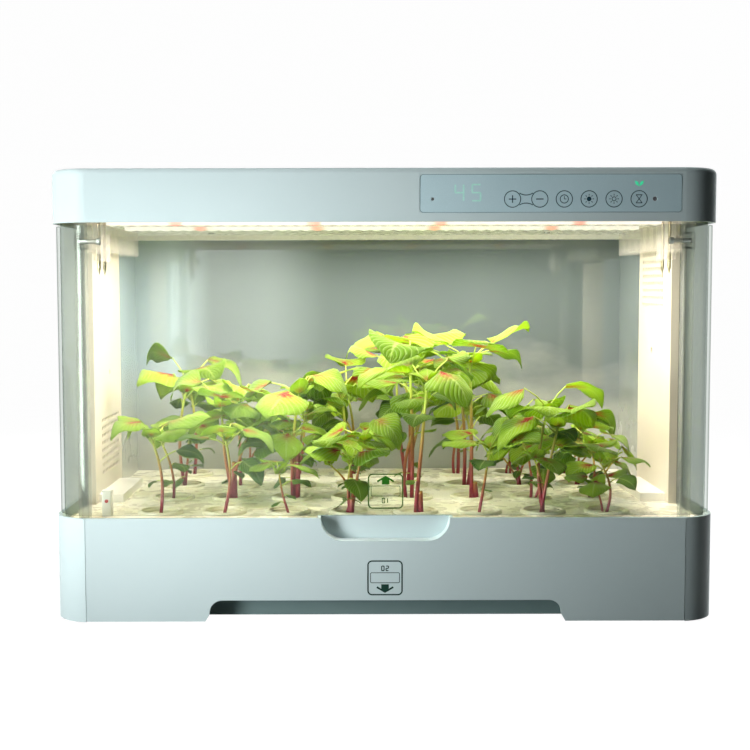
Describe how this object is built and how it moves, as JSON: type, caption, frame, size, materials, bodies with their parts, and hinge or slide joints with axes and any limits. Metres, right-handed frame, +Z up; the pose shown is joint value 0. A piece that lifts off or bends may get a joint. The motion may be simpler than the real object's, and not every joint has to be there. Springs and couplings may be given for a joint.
{
  "type": "hydroponic grow cabinet",
  "caption": "Countertop grow cabinet: lit cap, clear door that swings up, and a drawer with a water tank, planting board and cups.",
  "frame": {"origin": "bottom centre of the cabinet, on the plane of its feet", "axes": "+X to the right seen from the door, +Y to the back, +Z up"},
  "size_m": [0.58, 0.372, 0.394],
  "materials": {
    "housing": "satin pale blue-grey moulding",
    "dark_gloss": "dark gloss moulding",
    "rubber": "matt black rubber",
    "white_plastic": "satin white moulding",
    "cream_plastic": "food-grade cream moulding",
    "runner_plastic": "low-friction white strip",
    "grey_gloss": "polished grey-green sheet",
    "clear_plastic": "clear polished plastic",
    "steel": "bright steel",
    "brass": "yellow zinc screw",
    "circuit": "white solder mask",
    "led_white": "lit warm white lens",
    "led_red": "lit red lens",
    "red_lamp": "red lens",
    "film": "printed polyester film",
    "black_plastic": "black moulding",
    "foam": "open-cell growing sponge"
  },
  "bodies": {
    "cabinet": {"base_tub": "housing", "rear_shell": "housing", "hood_shell": "housing", "power_inlet": "housing", "kick_plate": "dark_gloss", "rubber_feet": "rubber", "left_air_panel": "white_plastic", "right_air_panel": "white_plastic", "left_foot_block": "white_plastic", "right_foot_block": "white_plastic", "level_post": "white_plastic", "lamp_panel": "white_plastic", "rear_soffit": "white_plastic", "power_supply": "white_plastic", "deck_frame": "cream_plastic", "runners": "runner_plastic", "back_panel": "grey_gloss", "left_liner": "grey_gloss", "right_liner": "grey_gloss", "left_corner_post": "clear_plastic", "right_corner_post": "clear_plastic", "left_side_window": "clear_plastic", "right_side_window": "clear_plastic", "left_hinge_bracket": "clear_plastic", "right_hinge_bracket": "clear_plastic", "left_guide_rail": "clear_plastic", "right_guide_rail": "clear_plastic", "hinge_pins": "steel", "hood_screws": "steel", "bracket_screws": "brass", "front_led_board": "circuit", "rear_led_board": "circuit", "control_board": "circuit", "white_leds": "led_white", "red_leds": "led_red", "level_lamp": "red_lamp", "control_film": "film", "display_module": "black_plastic", "light_sensor": "black_plastic", "exhaust_fan_frame": "black_plastic", "intake_fan_frame": "black_plastic"},
    "drawer": {"drawer_front": "housing", "water_tank": "cream_plastic", "drawer_screws": "steel", "planting_board": "cream_plastic", "net_cups_row_1": "cream_plastic", "net_cups_row_2": "cream_plastic", "net_cups_row_3": "cream_plastic", "net_cups_row_4": "cream_plastic", "sponge_plugs": "foam", "pump_body": "black_plastic", "pump_cover": "black_plastic"},
    "door": {"door_pane": "clear_plastic"},
    "exhaust_rotor": {"exhaust_fan_rotor": "black_plastic"},
    "intake_rotor": {"intake_fan_rotor": "black_plastic"},
    "impeller": {"pump_impeller": "black_plastic"},
    "reset": {"reset_button": "black_plastic"}
  },
  "joints": [
    {"name": "door_lift", "type": "hinge", "parent": "cabinet", "child": "door", "pos_m": [0, -0.176, 0.332], "axis": [-1, 0, 0], "range_deg": [0, 90]},
    {"name": "tank_slide", "type": "slide", "parent": "cabinet", "child": "drawer", "axis": [0, -1, 0], "range_m": [0, 0.247]},
    {"name": "exhaust_fan_spin", "type": "hinge", "parent": "cabinet", "child": "exhaust_rotor", "pos_m": [0.281, 0.011, 0.3], "axis": [1, 0, 0], "continuous": true},
    {"name": "intake_fan_spin", "type": "hinge", "parent": "cabinet", "child": "intake_rotor", "pos_m": [-0.281, 0.011, 0.136], "axis": [1, 0, 0], "continuous": true},
    {"name": "pump_spin", "type": "hinge", "parent": "drawer", "child": "impeller", "pos_m": [0, 0.065, 0.036], "axis": [1, 0, 0], "continuous": true},
    {"name": "reset_press", "type": "slide", "parent": "cabinet", "child": "reset", "axis": [0, 1, 0], "range_m": [0, 0.0005], "stiffness_N_per_m": 800}
  ]
}
